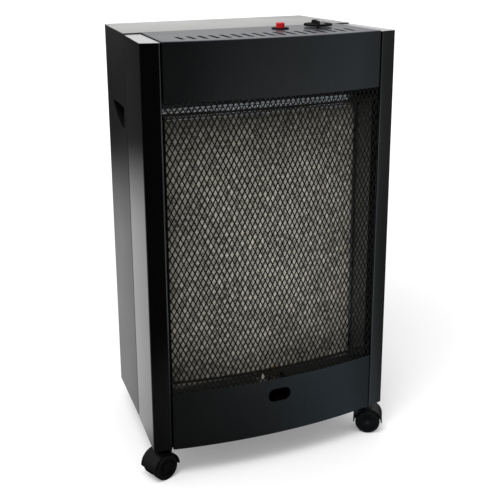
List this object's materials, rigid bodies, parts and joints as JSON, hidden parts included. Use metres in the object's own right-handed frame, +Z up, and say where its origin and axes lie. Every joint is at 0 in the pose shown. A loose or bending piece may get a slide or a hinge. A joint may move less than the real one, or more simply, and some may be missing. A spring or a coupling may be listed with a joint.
{
  "type": "portable gas cabinet heater",
  "caption": "Upright black steel gas heater on twin-wheel casters, with a bowed mesh guard over a catalytic pad, a slotted deck with igniter and knob, and a lift-off back.",
  "frame": {"origin": "on the floor, under the middle of the heater's overall box", "axes": "+Z up, the guard faces -Y, +X to the right as seen from the front"},
  "size_m": [0.4486, 0.3804, 0.7156],
  "materials": {
    "black_paint": "satin",
    "guard_paint": "satin",
    "galvanised": "dull",
    "cheek_steel": "satin",
    "bright_trim": "bright",
    "zinc": "satin",
    "pad_fibre": "matt",
    "brass": "satin",
    "copper_pipe": "satin",
    "lead_sleeve": "matt",
    "ceramic": "gloss",
    "cup_plastic": "matt",
    "black_plastic": "gloss",
    "red_plastic": "gloss",
    "pointer_inlay": "satin",
    "caster_plastic": "matt",
    "wheel_plastic": "matt"
  },
  "bodies": {
    "cabinet": {"base_tray": "black_paint", "right_pillar": "black_paint", "left_pillar": "black_paint", "right_side_panel": "black_paint", "left_side_panel": "black_paint", "right_handle_cup": "cup_plastic", "left_handle_cup": "cup_plastic", "top_cover": "black_paint", "seam_screws": "zinc", "bulkhead": "galvanised", "top_fascia": "black_paint", "lower_panel": "black_paint", "control_deck": "black_paint", "mesh_guard": "guard_paint", "guard_rails": "guard_paint", "guard_rivets": "zinc", "burner_tray": "galvanised", "heat_pad": "pad_fibre", "pad_frame": "bright_trim", "right_reflector_cheek": "cheek_steel", "left_reflector_cheek": "cheek_steel", "heat_deflector": "galvanised", "recess_floor": "galvanised", "burner_brackets": "galvanised", "valve_strap": "galvanised", "gas_valve": "brass", "igniter": "black_plastic", "igniter_nut": "zinc", "igniter_collar": "black_plastic", "injector": "brass", "feed_pipe": "copper_pipe", "inlet_pipe": "copper_pipe", "hose_nozzle": "brass", "pilot_pipe": "copper_pipe", "thermocouple": "copper_pipe", "ignition_lead": "lead_sleeve", "spark_electrode": "ceramic", "pilot_burner": "brass", "pilot_bracket": "galvanised", "caster_stems": "zinc", "caster_nuts": "zinc"},
    "igniter_button": {"igniter_button": "red_plastic"},
    "valve_rod": {"valve_rod": "zinc"},
    "control_knob": {"valve_spindle": "zinc", "control_knob": "black_plastic", "knob_pointer": "pointer_inlay"},
    "rear_cover": {"rear_cover": "black_paint"},
    "front_left_caster": {"front_left_caster_hood": "caster_plastic", "front_left_axle": "zinc"},
    "front_left_wheels": {"front_left_wheels": "wheel_plastic"},
    "front_right_caster": {"front_right_caster_hood": "caster_plastic", "front_right_axle": "zinc"},
    "front_right_wheels": {"front_right_wheels": "wheel_plastic"},
    "rear_left_caster": {"rear_left_caster_hood": "caster_plastic", "rear_left_axle": "zinc"},
    "rear_left_wheels": {"rear_left_wheels": "wheel_plastic"},
    "rear_right_caster": {"rear_right_caster_hood": "caster_plastic", "rear_right_axle": "zinc"},
    "rear_right_wheels": {"rear_right_wheels": "wheel_plastic"}
  },
  "joints": [
    {"name": "igniter_press", "type": "slide", "parent": "cabinet", "child": "igniter_button", "axis": [0, 0, -1], "range_m": [0, 0.006], "stiffness_N_per_m": 300, "springref_m": -0.004},
    {"name": "knob_press", "type": "slide", "parent": "cabinet", "child": "valve_rod", "axis": [0, 0, -1], "range_m": [0, 0.002], "stiffness_N_per_m": 1500, "springref_m": -0.003},
    {"name": "knob_turn", "type": "hinge", "parent": "valve_rod", "child": "control_knob", "pos_m": [0.115, -0.08375, 0.705], "axis": [0, 0, 1], "range_deg": [0, 210]},
    {"name": "rear_cover_slide", "type": "slide", "parent": "cabinet", "child": "rear_cover", "axis": [0, 1, 0], "range_m": [0, 0.35]},
    {"name": "front_left_swivel", "type": "hinge", "parent": "cabinet", "child": "front_left_caster", "pos_m": [-0.181, -0.14275, 0.0627], "axis": [0, 0, 1], "continuous": true},
    {"name": "front_left_roll", "type": "hinge", "parent": "front_left_caster", "child": "front_left_wheels", "pos_m": [-0.19424, -0.14731, 0.0215], "axis": [-0.3256, 0.9455, 0], "continuous": true},
    {"name": "front_right_swivel", "type": "hinge", "parent": "cabinet", "child": "front_right_caster", "pos_m": [0.181, -0.14275, 0.0627], "axis": [0, 0, 1], "continuous": true},
    {"name": "front_right_roll", "type": "hinge", "parent": "front_right_caster", "child": "front_right_wheels", "pos_m": [0.19296, -0.15002, 0.0215], "axis": [-0.5195, -0.8545, 0], "continuous": true},
    {"name": "rear_left_swivel", "type": "hinge", "parent": "cabinet", "child": "rear_left_caster", "pos_m": [-0.156, 0.08725, 0.0627], "axis": [0, 0, 1], "continuous": true},
    {"name": "rear_left_roll", "type": "hinge", "parent": "rear_left_caster", "child": "rear_left_wheels", "pos_m": [-0.14231, 0.08434, 0.0215], "axis": [-0.2079, -0.9781, 0], "continuous": true},
    {"name": "rear_right_swivel", "type": "hinge", "parent": "cabinet", "child": "rear_right_caster", "pos_m": [0.156, 0.08725, 0.0627], "axis": [0, 0, 1], "continuous": true},
    {"name": "rear_right_roll", "type": "hinge", "parent": "rear_right_caster", "child": "rear_right_wheels", "pos_m": [0.14231, 0.08434, 0.0215], "axis": [-0.2079, 0.9781, 0], "continuous": true}
  ]
}
